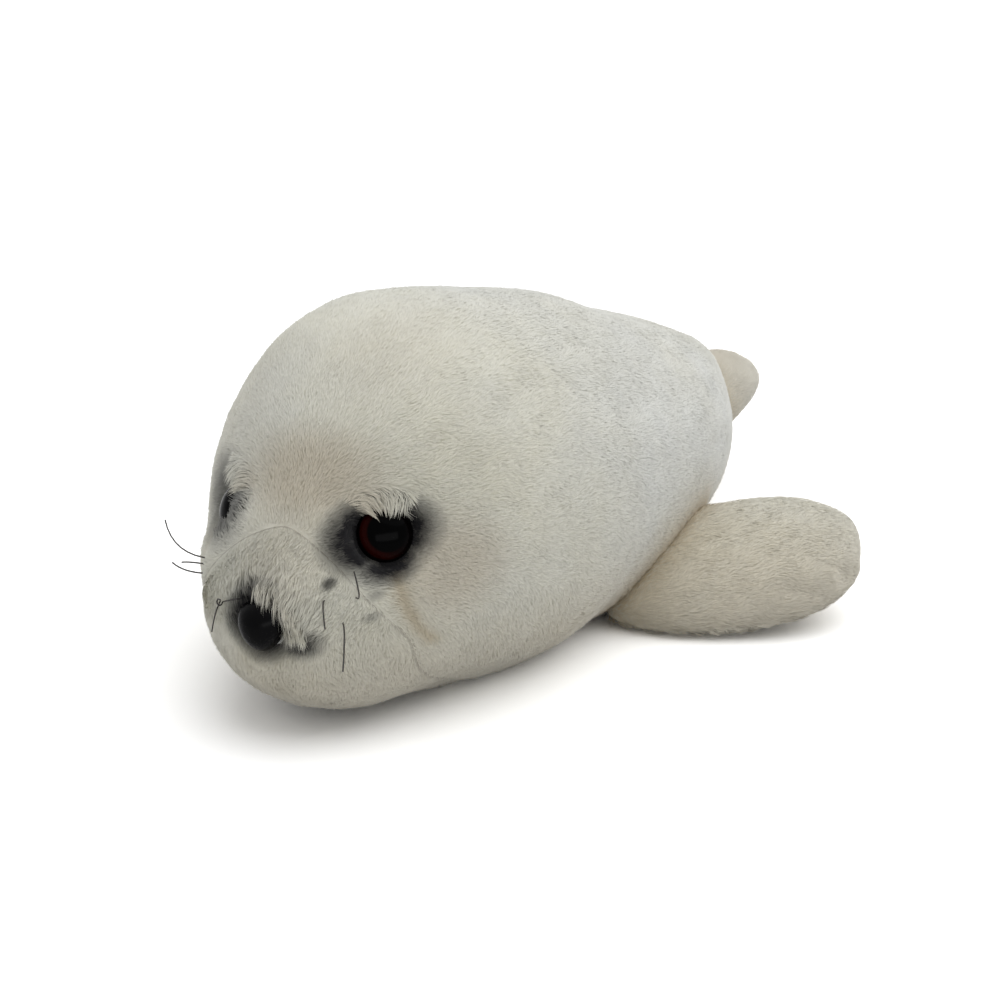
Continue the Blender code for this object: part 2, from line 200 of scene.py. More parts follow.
def new_piece(name, mesh, surface):
    """Puts a mesh into the scene as a piece of the seal with one material."""
    mesh.materials.clear()
    mesh.materials.append(surface)
    mesh.shade_smooth()
    return new_object(name, mesh)


def applied(piece, kind, **settings):
    """Keeps what a modifier makes of the piece as the piece's mesh."""
    modifier = piece.modifiers.new(kind.lower(), kind)
    for key, value in settings.items():
        setattr(modifier, key, value)
    graph = bpy.context.evaluated_depsgraph_get()
    mesh = bpy.data.meshes.new_from_object(piece.evaluated_get(graph))
    piece.modifiers.remove(modifier)
    old, piece.data = piece.data, mesh
    bpy.data.meshes.remove(old)
    mesh.shade_smooth()


def settle(piece, slot, *nodes):
    """The finished piece moves with the seal and stands for these nodes of the frame, which are hidden; slot is not
    used.
    """
    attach(piece, "root")
    if nodes:
        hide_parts(*nodes)


def seat_of(washer):
    """(centre, outward axis) of a fitting, read from the flat ring behind it."""
    points = points_of(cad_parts[washer].data)
    centre = 0.5 * (points.min(axis=0) + points.max(axis=0))
    spread = np.linalg.svd(points - points.mean(axis=0), full_matrices=False)[2]
    axis = spread[2] * (-1.0 if spread[2][1] > 0 else 1.0)
    return centre, axis


def apex_of(node, washer):
    """(apex, outward axis, points along and away from the axis) of a turned fitting."""
    centre, axis = seat_of(washer)
    points = points_of(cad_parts[node].data) - centre
    along = points @ axis
    away = np.linalg.norm(points - along[:, None] * axis, axis=1)
    return centre + axis * along.max(), axis, along - along.max(), away


EYES = {side: apex_of("eye_" + side, "eye_washer_" + side) for side in SIDES}
EYE_RADIUS = float(EYES["left"][3].max())
NOSE_APEX = apex_of("nose", "nose_washer")[0]
NOSE_LOW, NOSE_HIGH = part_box("nose")
NOSE_Z = 0.5 * (NOSE_LOW.z + NOSE_HIGH.z)
NOSE_HALF_WIDTH = 0.5 * (NOSE_HIGH.x - NOSE_LOW.x)


def seam_distances(places):
    """(signed distance to the muzzle's seam, negative inside it; distance to the nearer cheek seam)."""
    out, height = np.abs(places[:, 0]), places[:, 2]
    ring = (out / MUZZLE_SEAM_HALF_WIDTH) ** MUZZLE_SEAM_POWER
    reach = np.where(height > MUZZLE_SEAM_Z, MUZZLE_SEAM_HALF_HEIGHT, MUZZLE_SEAM_LOW_HEIGHT)
    ring += (np.abs(height - MUZZLE_SEAM_Z) / reach) ** MUZZLE_SEAM_POWER
    from_ring = (ring ** (1.0 / MUZZLE_SEAM_POWER) - 1.0) * MUZZLE_SEAM_HALF_WIDTH
    top, run = np.array(CHEEK_SEAM_TOP), np.array(CHEEK_SEAM_END) - np.array(CHEEK_SEAM_TOP)
    start = np.stack([out, height], axis=1) - top
    share = np.clip(start @ run / (run @ run), 0.0, 1.0)
    from_cheek = np.linalg.norm(start - share[:, None] * run, axis=1)
    behind = places[:, 1] > FACE_REAR
    return np.where(behind, 1.0, from_ring), np.where(behind, 1.0, from_cheek)


CHEEK_STAIN_LEFT, CHEEK_STAIN_RIGHT, CHEEK_STAIN_WIDTH = 0.42, 0.15, 1.8 * MM


def seam_tint(places):
    """How much the handled pile shows at the cheek's seams."""
    cheek = seam_distances(places)[1]
    return np.where(places[:, 0] > 0, CHEEK_STAIN_LEFT, CHEEK_STAIN_RIGHT) * bell(cheek, CHEEK_STAIN_WIDTH)


def tree_of(node):
    """Search tree of a node's solid in the frame."""
    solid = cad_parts[node].data
    return BVHTree.FromPolygons([v.co for v in solid.vertices], [p.vertices for p in solid.polygons])


# Painted shade, stained yellow-brown, in the creases where one part meets another: its strength, how fast it fades
# with the gap, and how far it is searched for
CREASE_SHADE_AND_STAIN, CREASE_FADE, CREASE_SEARCH = 0.75, 6.0 * MM, 20 * MM
FLIPPER_REACH = 12 * MM  # how far round the box of a front flipper the body gets painted crease shade


def crease_shade_and_stain(places, node, reach=CREASE_SEARCH):
    """How much painted crease shade, stained yellow-brown, shows against a node's solid at each place within reach
    of the node's box.
    """
    tree = tree_of(node)
    low, high = (np.array(corner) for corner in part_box(node))
    tint = np.zeros(len(places))
    near = ((places > low - reach) & (places < high + reach)).all(axis=1)
    for index in np.nonzero(near)[0]:
        gap = tree.find_nearest(Vector(places[index]), CREASE_SEARCH)[3]
        if gap is not None:
            tint[index] = CREASE_SHADE_AND_STAIN * math.exp(-gap / CREASE_FADE)
    return tint


def flipper_creases(places):
    """How much painted crease shade, stained yellow-brown, shows under both front flippers at each place on the
    body.
    """
    return np.maximum(*(crease_shade_and_stain(places, "flipper_front_" + side, FLIPPER_REACH) for side in SIDES))


# Lumps of the filling: place on the skin, how far it swells and how wide the lump is.
LUMPS = (
    ((-0.030, -0.080, 0.118), 2.6 * MM, 0.022),
    ((-0.020, -0.062, 0.124), 1.4 * MM, 0.012),
    ((0.015, 0.002, 0.114), 1.8 * MM, 0.020),
    ((0.000, 0.122, 0.062), 3.4 * MM, 0.022),
    ((0.020, 0.020, 0.108), 1.2 * MM, 0.020),
    ((0.036, 0.107, 0.071), 3.6 * MM, 0.014),
    ((0.030, -0.120, 0.006), 1.8 * MM, 0.016),
    ((0.060, -0.050, 0.012), 1.8 * MM, 0.018),
    ((-0.040, -0.117, 0.067), -1.2 * MM, 0.009),
    ((-0.035, -0.132, 0.050), 2.2 * MM, 0.012),
)
# The same on the left flippers; the right ones mirror them.
FLIPPER_LUMPS = {
    "front": (
        ((0.1200, 0.0480, 0.0310), 2.8 * MM, 0.011),
        ((0.1290, 0.0265, 0.0215), -3.2 * MM, 0.0042),
        ((0.1137, 0.0081, 0.0185), -0.9 * MM, 0.0036),
        ((0.1185, 0.0105, 0.0175), -0.9 * MM, 0.0036),
        ((0.1230, 0.0134, 0.0165), -0.9 * MM, 0.0036),
    ),
    "hind": (((0.0150, 0.1560, 0.0510), 7.5 * MM, 0.0180),),
}


def lumpiness(points, lumps, hand=1.0):
    """How far the filling swells the skin at each point."""
    rise = np.zeros(len(points))
    for place, height, width in lumps:
        centre = np.array(place) * (hand, 1.0, 1.0)
        rise += height * np.exp(-(((points - centre) / width) ** 2).sum(axis=1))
    return rise


def ball(across, along, high):
    """Sphere of radius 1 made of quads, with this many facets each way."""
    made = bmesh.new()
    bmesh.ops.create_cube(made, size=2.0)
    for axis, count in enumerate((across, along, high)):
        edges = []
        for edge in made.edges:
            run = edge.verts[1].co - edge.verts[0].co
            if abs(run[axis]) > 0.5 * run.length:
                edges.append(edge)
        bmesh.ops.subdivide_edges(made, edges=edges, cuts=count - 1, use_grid_fill=True)
    for vertex in made.verts:
        vertex.co = Vector([math.tan(0.25 * math.pi * value) for value in vertex.co]).normalized()
    return made


def neighbours_mean(points, links, count):
    """Mean of each point's neighbours along the mesh's edges."""
    total = np.zeros_like(points)
    np.add.at(total, links[:, 0], points[links[:, 1]])
    np.add.at(total, links[:, 1], points[links[:, 0]])
    return total / count[:, None]


def links_of(mesh):
    """(the two vertices of each edge, how many edges each vertex has)."""
    links = np.empty(len(mesh.edges) * 2, np.int32)
    mesh.edges.foreach_get("vertices", links)
    links = links.reshape(-1, 2)
    return links, np.maximum(np.bincount(links.ravel(), minlength=len(mesh.vertices)), 1)


def smoothed(mesh, rounds):
    """Moves the mesh's points halfway to their neighbours' mean, this many times. Gives the new points."""
    points, (links, count) = points_of(mesh), links_of(mesh)
    for _ in range(rounds):
        points += 0.5 * (neighbours_mean(points, links, count) - points)
    set_points(mesh, points)
    return points


BODY_FACETS = (46, 34, 42)
# The line that the body's skin is cast from: its ends and its height as shares of the body's box.
SPINE_FRONT_SHARE, SPINE_REAR_SHARE, SPINE_HIGH_SHARE = 0.293, 0.618, 0.344
POCKET_MARGIN = 2.5 * MM
POCKET_ROUNDS = 220  # how often the skin over a pocket is evened out
SPIKE = 1.2 * MM  # a point further than this from its neighbours' mean is drawn back to it


def body_skin():
    """Mesh of the body's skin: the outside of the frame's body as even quads, with its pockets closed."""
    tree = tree_of("body")
    made = ball(*BODY_FACETS)
    front = BODY_LOW.y + SPINE_FRONT_SHARE * (BODY_HIGH.y - BODY_LOW.y)
    rear = BODY_LOW.y + SPINE_REAR_SHARE * (BODY_HIGH.y - BODY_LOW.y)
    height = BODY_LOW.z + SPINE_HIGH_SHARE * (BODY_HIGH.z - BODY_LOW.z)
    far = (BODY_HIGH - BODY_LOW).length
    for vertex in made.verts:
        origin = Vector((0.0, 0.5 * (front + rear) + 0.5 * (rear - front) * vertex.co.y, height))
        way = vertex.co.copy()
        vertex.co = tree.ray_cast(origin + way * far, -way)[0]
    mesh = mesh_of("body_coat_skin", made)
    points = points_of(mesh)
    links, count = links_of(mesh)
    holes = np.zeros(len(points), bool)
    for side in SIDES:
        apex, axis = EYES[side][:2]
        holes |= np.linalg.norm(points - apex + axis * 4 * MM, axis=1) < EYE_RADIUS + POCKET_MARGIN
    holes |= np.linalg.norm(points - NOSE_APEX, axis=1) < NOSE_HALF_WIDTH + 2 * POCKET_MARGIN
    for _ in range(POCKET_ROUNDS):
        points[holes] = neighbours_mean(points, links, count)[holes]
    for _ in range(3):
        mean = neighbours_mean(points, links, count)
        spike = np.linalg.norm(points - mean, axis=1) > SPIKE
        points[spike] = mean[spike]
    set_points(mesh, points)
    return mesh


MUZZLE_SEAM_DEPTH, MUZZLE_SEAM_WIDTH = 0.8 * MM, 2.2 * MM
CHEEK_SEAM_DEPTH, CHEEK_SEAM_WIDTH = 0.9 * MM, 2.4 * MM
BELLY_BELOW, BELLY_RISE = 0.5 * MM, 0.6 * MM  # the skin below this height is lifted this far off the floor
BODY_CREASE_FILL = 2.2  # how far the skin swells against the front flippers, in depths of the pile


def swell(mesh, depth):
    """Moves the skin in by the pile's depth, adds the filling's lumps and presses the seams in."""
    points, normals = points_of(mesh), normals_of(mesh)
    on_floor = points[:, 2] < BELLY_BELOW
    move = lumpiness(points, LUMPS) - depth + BODY_CREASE_FILL * depth * flipper_creases(points)
    ring, cheek = seam_distances(points)
    move -= MUZZLE_SEAM_DEPTH * bell(ring, MUZZLE_SEAM_WIDTH)
    move -= CHEEK_SEAM_DEPTH * bell(cheek, CHEEK_SEAM_WIDTH)
    points += normals * np.where(on_floor, -BELLY_RISE, move)[:, None]
    points[:, 2] = np.maximum(points[:, 2], SKIN_GAP)
    set_points(mesh, points)


# How far the skin is pressed clear of each dome: the right one's pile hangs over it.
EYE_CLEAR = {"left": 1.0, "right": 0.35}
HOLLOW_FROM, HOLLOW_TO, HOLLOW_DEPTH = 1.05, 1.40, 0.5 * MM  # in radii of the eye, and below its rim

# Fine lumps round the fittings, in the same form as LUMPS.
FINE_LUMPS = (
    ((0.0075, -0.1510, 0.0545), 2.6 * MM, 0.0062),
    ((0.0120, -0.1510, 0.0480), 1.2 * MM, 0.0050),
)


def shape_round_fittings(mesh):
    """Presses the skin behind the rim of each dome, so that the whole dome shows, and swells it over the nose."""
    points, normals = points_of(mesh), normals_of(mesh)
    points += normals * lumpiness(points, FINE_LUMPS)[:, None]
    for side, (apex, axis, heights, away) in EYES.items():
        rim = heights[away > 0.999 * EYE_RADIUS].max()
        offset = points - apex
        along = offset @ axis
        radial = np.linalg.norm(offset - along[:, None] * axis, axis=1)
        share = 1.0 - ease(radial, HOLLOW_FROM * EYE_RADIUS, HOLLOW_TO * EYE_RADIUS)
        share *= (np.abs(along) < 2.0 * EYE_RADIUS) * EYE_CLEAR[side]
        points += (np.minimum(rim - HOLLOW_DEPTH - along, 0.0) * share)[:, None] * axis
    set_points(mesh, points)


CLOTH_STIFFNESS, CLOTH_STEPS = 30.0, 20


def stuffed(piece, pinned, pressure, cap):
    """Filling presses the skin out between its seams: a cloth simulation whose result stays in the mesh."""
    before = points_of(piece.data)
    group = piece.vertex_groups.new(name="seams")
    for index in np.nonzero(pinned > 0.0)[0]:
        group.add([int(index)], float(pinned[index]), "REPLACE")
    cloth = piece.modifiers.new("filling", "CLOTH")
    cloth.settings.vertex_group_mass = "seams"
    cloth.settings.use_pressure = True
    cloth.settings.uniform_pressure_force = pressure
    cloth.settings.effector_weights.gravity = 0.0
    cloth.settings.tension_stiffness = cloth.settings.compression_stiffness = CLOTH_STIFFNESS
    scene = bpy.context.scene
    for step in range(1, CLOTH_STEPS + 1):
        scene.frame_set(step)
    graph = bpy.context.evaluated_depsgraph_get()
    after = points_of(piece.evaluated_get(graph).data)
    scene.frame_set(1)
    piece.modifiers.remove(cloth)
    piece.vertex_groups.remove(group)
    move = after - before
    reach = np.linalg.norm(move, axis=1, keepdims=True)
    move *= np.minimum(1.0, cap / np.maximum(reach, 1e-9))
    placed = before + move
    placed[:, 2] = np.maximum(placed[:, 2], SKIN_GAP)
    set_points(piece.data, placed)


def evened(name, node, voxel, surface):
    """New piece from a node's solid, remeshed with even facets of this size."""
    piece = new_piece(name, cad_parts[node].data.copy(), surface)
    applied(piece, "REMESH", mode="VOXEL", voxel_size=voxel)
    piece.data.materials.clear()
    piece.data.materials.append(surface)
    return piece


def scatter(mesh, count, rng, wanted):
    """Places spread over a mesh, with the skin's normal at each. wanted gives how much pile a place gets."""
    mesh.calc_loop_triangles()
    corners = np.empty(len(mesh.loop_triangles) * 3, np.int32)
    mesh.loop_triangles.foreach_get("vertices", corners)
    corners = corners.reshape(-1, 3)
    points, normals = points_of(mesh), normals_of(mesh)
    a, b, c = (points[corners[:, k]] for k in range(3))
    weight = np.linalg.norm(np.cross(b - a, c - a), axis=1) * wanted((a + b + c) / 3.0)
    total = np.cumsum(weight)
    draws = (np.arange(count) + rng.random(count)) / count * total[-1]
    chosen = corners[np.minimum(np.searchsorted(total, draws), len(corners) - 1)]
    first, second = np.sqrt(rng.random(count)), rng.random(count)
    share = np.stack([1 - first, first * (1 - second), first * second], axis=1)
    places = (points[chosen] * share[:, :, None]).sum(axis=1)
    return places, unit((normals[chosen] * share[:, :, None]).sum(axis=1))


def along_skin(flow, normals):
    """The part of each direction that runs along the skin, of length 1."""
    return unit(flow - (flow * normals).sum(axis=1, keepdims=True) * normals)


def turned_about(vectors, axes, angles):
    """Each vector turned about its own axis, which it is square to."""
    return vectors * np.cos(angles)[:, None] + np.cross(axes, vectors) * np.sin(angles)[:, None]


BLADE_WIDTHS = (0.22, 0.34)  # least and most, in mm
MIDDLE_TIP = 0.55  # how far along a blade its middle counts as its tip
SKIN_TIP = 0.6  # the same for the skin under the pile
SPRAYED_SHARE = 0.4  # how far along a blade lies the place whose sprayed colour it takes


def blades(name, rng, surface, roots, normals, ways, lengths, widths, lifts, sprayed, tones, tint):
    """Pile as real blades: each is a thin kite of two triangles that rises and then bends down along the skin.

    The whole blade takes the spray of the place sprayed, and from tint the yellow-brown of the cheek seams and the
    painted crease shade.
    """
    count = len(roots)
    rise = np.sin(lifts)[:, None] * normals + np.cos(lifts)[:, None] * ways
    fall = np.sin(0.45 * lifts)[:, None] * normals + np.cos(0.45 * lifts)[:, None] * ways
    middle = roots + rise * (0.5 * lengths)[:, None]
    tip = middle + fall * (0.5 * lengths)[:, None]
    across = turned_about(unit(np.cross(normals, ways)), rise, rng.normal(0.0, 0.2, count))
    across *= (0.5 * widths)[:, None]
    corners = np.stack([roots, middle - across, middle + across, tip], axis=1)
    corners[:, :, 2] = np.maximum(corners[:, :, 2], BLADE_GAP)
    first = 4 * np.arange(count)[:, None]
    faces = (first + np.array([[0, 1, 2, 1, 3, 2]])).reshape(-1)
    mesh = bpy.data.meshes.new(name)
    mesh.vertices.add(4 * count)
    mesh.vertices.foreach_set("co", corners.astype(np.float32).ravel())
    mesh.loops.add(6 * count)
    mesh.loops.foreach_set("vertex_index", faces.astype(np.int32))
    mesh.polygons.add(2 * count)
    mesh.polygons.foreach_set("loop_start", np.arange(0, 6 * count, 3, dtype=np.int32))
    mesh.update(calc_edges=True)
    piece = new_piece(name, mesh, surface)
    attribute(mesh, "root", "FLOAT_VECTOR", np.repeat(sprayed, 4, axis=0))
    attribute(mesh, "tip", "FLOAT", np.tile([0.0, MIDDLE_TIP, MIDDLE_TIP, 1.0], count))
    attribute(mesh, "tone", "FLOAT", np.repeat(tones, 4))
    attribute(mesh, "seam_stain_crease_shade", "FLOAT", np.repeat(tint, 4))
    lean = unit(normals + 0.12 * ways + rng.normal(0.0, 0.04, (count, 3)))
    mesh.normals_split_custom_set_from_vertices(np.repeat(lean, 4, axis=0))
    return piece


def attribute(mesh, name, kind, values):
    """Gives every vertex of the mesh a value under this name."""
    made = mesh.attributes.new(name, kind, "POINT")
    key = "vector" if kind == "FLOAT_VECTOR" else "value"
    made.data.foreach_set(key, np.asarray(values, np.float32).ravel())


def skin_attributes(mesh):
    """The skin shares the pile's material, so it carries the same attributes."""
    attribute(mesh, "root", "FLOAT_VECTOR", points_of(mesh))
    attribute(mesh, "tip", "FLOAT", np.full(len(mesh.vertices), SKIN_TIP))
    attribute(mesh, "tone", "FLOAT", np.zeros(len(mesh.vertices)))
    attribute(mesh, "seam_stain_crease_shade", "FLOAT", seam_tint(points_of(mesh)))


def face_weights(places):
    """(how far the pile flows down the muzzle to the nose, how far it is the long pile of the bridge)."""
    ring = seam_distances(places)[0]
    from_nose = np.linalg.norm(places - NOSE_APEX, axis=1)
    above = ease(places[:, 2], NOSE_Z - 6 * MM, NOSE_Z + 2 * MM)
    downward = ease(-ring, -2 * MM, 3 * MM) * above
    return downward, downward * ease(-from_nose, -27 * MM, -12 * MM)


LOCK_ANGLE = 0.17  # turn from one lock of the brow to the next, round the eye
BROW_TURN = 0.10  # how far the brow's middle is turned from straight up towards the nose
# Which way the pile is brushed over most of the body, below the nose, over the nose and round the eyes.
BACK_WAY = np.array([0.0, 1.0, -0.35])
CHIN_WAY = np.array([0.0, 0.3, -1.0])
NOSE_WAY = np.array([0.60, 0.0, -0.80])
EYE_WAY = np.array([0.0, 0.5, -0.2])
BRIDGE_END = np.array([6 * MM, 0.0, -14 * MM])  # where the strands of the bridge point, from the nose's apex


def eye_frames():
    """For each eye: which way x runs there, its apex, its axis, and the directions across it to +x and up."""
    for side, hand in SIDES.items():
        apex, axis = EYES[side][:2]
        up = unit(np.array([0.0, 0.0, 1.0]) - axis[2] * axis)
        yield hand, apex, axis, np.cross(up, axis), up


def eye_places(places):
    """Round the nearer eye: distance from its axis, angle from straight up, direction away from it."""
    radial, angle = np.full(len(places), 1.0), np.zeros(len(places))
    outward = np.zeros_like(places)
    for hand, apex, axis, across, up in eye_frames():
        near = (hand * places[:, 0] > 0) & (places[:, 1] < FACE_REAR)
        offset = places - apex
        flat = offset - (offset @ axis)[:, None] * axis
        radial[near] = np.linalg.norm(flat, axis=1)[near]
        angle[near] = np.arctan2(hand * (flat @ across), flat @ up)[near]
        outward[near] = unit(flat)[near]
    return radial, angle, outward


def lock_ends(places, lock):
    """Where the brow's locks end: on a ring over the dome of the nearer eye."""
    angles = lock + 0.12 * np.sin(17.0 * lock)
    reach = EYE_RADIUS * (0.48 + 0.10 * np.sin(5.3 * lock / LOCK_ANGLE))[:, None]
    ends = np.zeros_like(places)
    for hand, apex, _, across, up in eye_frames():
        near = hand * places[:, 0] > 0
        ring = np.cos(angles)[:, None] * up + (hand * np.sin(angles))[:, None] * across
        ends[near] = (apex + reach * ring)[near]
    return ends


def off_fittings(roots):
    """Whether each root is clear of the eyes and the nose."""
    keep = np.ones(len(roots), bool)
    for side in SIDES:
        apex, axis = EYES[side][:2]
        offset = roots - apex
        keep &= np.linalg.norm(offset - (offset @ axis)[:, None] * axis, axis=1) > 0.98 * EYE_RADIUS
        keep |= np.abs(offset @ axis) > 2.5 * EYE_RADIUS
    nose_offset = (roots - np.array([0.0, NOSE_APEX[1], NOSE_Z])) / np.array([NOSE_HALF_WIDTH, 0.02, 0.0080])
    return keep & (np.linalg.norm(nose_offset, axis=1) > 0.86)


def face_shares(roots):
    """How far each root belongs to each part of the face's pile, and its place round the nearer eye."""
    out, height = roots[:, 0], roots[:, 2] - NOSE_Z
    face = SimpleNamespace()
    face.front = ease(-roots[:, 1], 0.02, 0.09)
    face.below = ease(-height, -2 * MM, 6 * MM) * (roots[:, 1] < FACE_REAR)
    face.downward, face.bridge = face_weights(roots)
    face.over_nose = (1 - ease(np.hypot(out, height), 11 * MM, 17 * MM)) * (roots[:, 1] < FACE_REAR)
    face.over_nose *= ease(0.6 * out + 0.8 * height, 3 * MM, 7 * MM)
    face.over_nose *= ease(out, -6 * MM, -1 * MM) * ease(height, -3 * MM, 2 * MM)
    face.shaggy = np.maximum(face.downward * ease(out, -24 * MM, -10 * MM), face.over_nose)

    radial, face.angle, face.outward = eye_places(roots)
    radial /= EYE_RADIUS
    face.covered = (1 - ease(radial, 1.2, 1.7)) * (out < 0) * (face.angle < 0.2)
    face.parting = (1 - ease(radial, 1.0, 2.0)) * ease(np.abs(face.angle), 0.9, 1.4)
    face.parting *= 1 - np.minimum(face.covered * 2, 1.0)
    from_brow = np.abs(face.angle + BROW_TURN)
    face.tuft = ease(radial, 0.98, 1.15) * (1 - ease(radial, 1.45, 1.8)) * (1 - ease(from_brow, 0.60, 0.85))
    face.brow = (1 - ease(from_brow, 0.62, 0.88)) * (1 - ease(radial, 1.7, 2.0))
    return face


def brushed(roots, normals, face, rng):
    """Which way each blade of the body runs along the skin."""
    flow = np.tile(BACK_WAY, (len(roots), 1))
    flow = blend(flow, CHIN_WAY, 0.8 * face.below)
    flow = blend(flow, unit(NOSE_APEX + BRIDGE_END - roots), face.downward)
    flow = blend(flow, NOSE_WAY, face.over_nose)
    flow = blend(flow, face.outward + EYE_WAY, face.parting)
    flow = blend(flow, -face.outward, 0.7 * face.covered)
    turn = 0.30 * waves(roots, 14 * MM, 3) + 0.15 * waves(roots, 4.0 * MM, 4) + rng.normal(0.0, 0.15, len(roots))
    combed = np.maximum(face.downward, ease(normals[:, 2], 0.4, 0.8))
    return turned_about(along_skin(flow, normals), normals, turn * (1.0 - 0.35 * combed))


def body_lengths(roots, face, usual, rng):
    """Length of each blade of the body: long on the bridge and over the nose, short at the seams."""
    lengths = usual * (1.0 - 0.20 * face.front) + 5.2 * MM * face.bridge
    lengths *= 1.0 + 0.10 * waves(roots, 9 * MM, 5) + rng.normal(0.0, 0.14, len(roots))
    ring, cheek = seam_distances(roots)
    lengths *= 1.0 - 0.25 * np.minimum(bell(ring, 0.9 * MM) + 0.5 * bell(cheek, 1.5 * MM), 1.0)
    lengths *= 1.0 - 0.35 * face.parting
    return lengths + (1.7 * face.over_nose + 5.3 * face.covered) * MM


def body_lifts(roots, normals, face, rng):
    """Angle at which each blade of the body leaves the skin."""
    lifts = 0.35 + 0.22 * face.front + 0.05 * waves(roots, 6 * MM, 6) + rng.normal(0.0, 0.06, len(roots))
    lifts -= 0.08 * ease(normals[:, 2], 0.4, 0.8)
    lifts += -0.10 * face.bridge + 0.45 * face.over_nose - 0.1 * face.parting + 0.25 * face.covered
    lifts += 0.20 * face.shaggy * waves(roots, 2.6 * MM, 32)
    return np.clip(lifts, 0.12, 1.25)


def sprayed_places(roots, ways, lengths, face):
    """The place whose sprayed colour each blade takes: white tufts take theirs from beyond the patches."""
    overhang = np.maximum(face.tuft, face.bridge * ease(roots[:, 0], -6 * MM, -2 * MM))
    sprayed = roots + (SPRAYED_SHARE * lengths * (1.0 - overhang))[:, None] * ways
    away = 6 * MM * ease(face.brow, 0.1, 0.5) - 5 * MM * ease(face.covered, 0.2, 0.8)
    sprayed += away[:, None] * face.outward
    sprayed[:, 2] += 11 * MM * ease(face.over_nose, 0.15, 0.5)
    return sprayed


def coat_body(skin, settings, surface):
    """All the pile of the body, in pieces from the face to the rump."""
    rng = np.random.default_rng(11)

    def wanted(places):
        """Denser on the face, thin where the belly lies on the floor."""
        face = ease(-places[:, 1], 0.085, 0.125)
        under = ease(places[:, 2], 0.6 * MM, 4 * MM)
        return (1.0 + 0.9 * face) * (0.08 + 0.92 * under)

    roots, normals = scatter(skin, settings.blades, rng, wanted)
    keep = off_fittings(roots)
    roots, normals = roots[keep], normals[keep]
    face = face_shares(roots)
    ways = brushed(roots, normals, face, rng)
    lengths = body_lengths(roots, face, settings.length, rng)
    lifts = body_lifts(roots, normals, face, rng)

    wander = waves(roots, 11 * MM, 31)
    lock = np.round(face.angle / LOCK_ANGLE + 0.4 * wander) * LOCK_ANGLE
    to_end = lock_ends(roots, lock) - roots
    ways = along_skin(blend(ways, unit(to_end), face.tuft), normals)
    to_end = np.linalg.norm(to_end, axis=1) * rng.uniform(0.75, 1.1, len(roots))
    lengths = np.clip(lengths * (1 - face.tuft) + to_end * face.tuft, 1.0 * MM, 12 * MM)
    lifts = lifts * (1 - face.tuft) + 0.60 * face.tuft
    widths = rng.uniform(*BLADE_WIDTHS, len(roots)) * MM
    tones = rng.normal(0.0, 1.0, len(roots)) + 2.2 * face.shaggy * waves(roots, 1.8 * MM, 33)
    tones += 4.0 * face.tuft * np.sin(9.0 * lock / LOCK_ANGLE + 40.0 * wander)
    tones += 3.5 * face.over_nose * waves(roots, 2.4 * MM, 34)
    sprayed = sprayed_places(roots, ways, lengths, face)
    # Yellow-brown at the cheek seams, and painted shade in the creases at the front flippers
    tint = np.maximum(seam_tint(roots), flipper_creases(roots))

    pile = (roots, normals, ways, lengths, widths, lifts, sprayed, tones, tint)
    parts = ("face", "head", "flanks", "rump")
    indices = np.array_split(np.argsort(roots[:, 1], kind="stable"), len(parts))
    return [blades("pile_" + part, rng, surface, *(column[index] for column in pile))
            for part, index in zip(parts, indices)]


